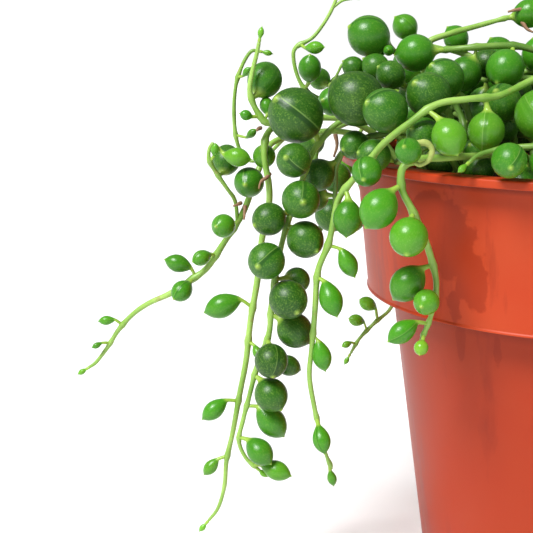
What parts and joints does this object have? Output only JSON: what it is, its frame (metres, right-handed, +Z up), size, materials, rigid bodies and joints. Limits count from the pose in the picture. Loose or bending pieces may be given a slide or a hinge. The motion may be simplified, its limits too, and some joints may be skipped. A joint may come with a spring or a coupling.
{
  "type": "potted string of pearls plant",
  "caption": "Trailing succulent with bead-like round leaves on thin stems, mounded over the soil and hanging over the rim of a round tapered nursery pot with a wide collar.",
  "frame": {"origin": "centre of the pot's flat base, on the surface it stands on", "axes": "+Z up along the pot's axis; -Y is the side whose strings are routed by hand, with the fullest strings hanging at -X"},
  "size_m": [0.1811, 0.1316, 0.1313],
  "materials": {
    "pot_plastic": "thin terracotta-coloured plastic, satin, slightly see-through at the rim",
    "potting_mix": "rough dark crumbs of peat and bark",
    "plant": "smooth waxy succulent skin with a soft sheen"
  },
  "bodies": {
    "root": {"pot": "pot_plastic", "soil": "potting_mix", "arching_string": "plant", "full_string": "plant", "long_string": "plant", "reaching_string": "plant", "crossing_string": "plant", "back_string": "plant", "shaded_string": "plant", "tucked_string": "plant", "rising_shoot": "plant", "top_shoot": "plant", "brim_string": "plant", "level_string": "plant", "upper_string": "plant", "rim_head": "plant", "crest_head": "plant", "shoulder_head": "plant", "edge_head": "plant", "summit_head": "plant", "trailing_string_1": "plant", "trailing_string_2": "plant", "trailing_string_3": "plant", "trailing_string_4": "plant", "trailing_string_5": "plant", "trailing_string_6": "plant", "trailing_string_7": "plant", "trailing_string_8": "plant", "trailing_string_9": "plant", "trailing_string_10": "plant", "trailing_string_11": "plant", "trailing_string_12": "plant", "trailing_string_13": "plant", "creeping_string_1": "plant", "creeping_string_2": "plant", "creeping_string_3": "plant", "creeping_string_4": "plant", "creeping_string_5": "plant", "creeping_string_6": "plant", "creeping_string_7": "plant", "creeping_string_8": "plant", "creeping_string_9": "plant", "creeping_string_10": "plant", "creeping_string_11": "plant", "creeping_string_12": "plant", "creeping_string_13": "plant", "creeping_string_14": "plant", "creeping_string_15": "plant", "creeping_string_16": "plant", "creeping_string_17": "plant", "creeping_string_18": "plant", "creeping_string_19": "plant", "creeping_string_20": "plant", "creeping_string_21": "plant"}
  },
  "joints": []
}
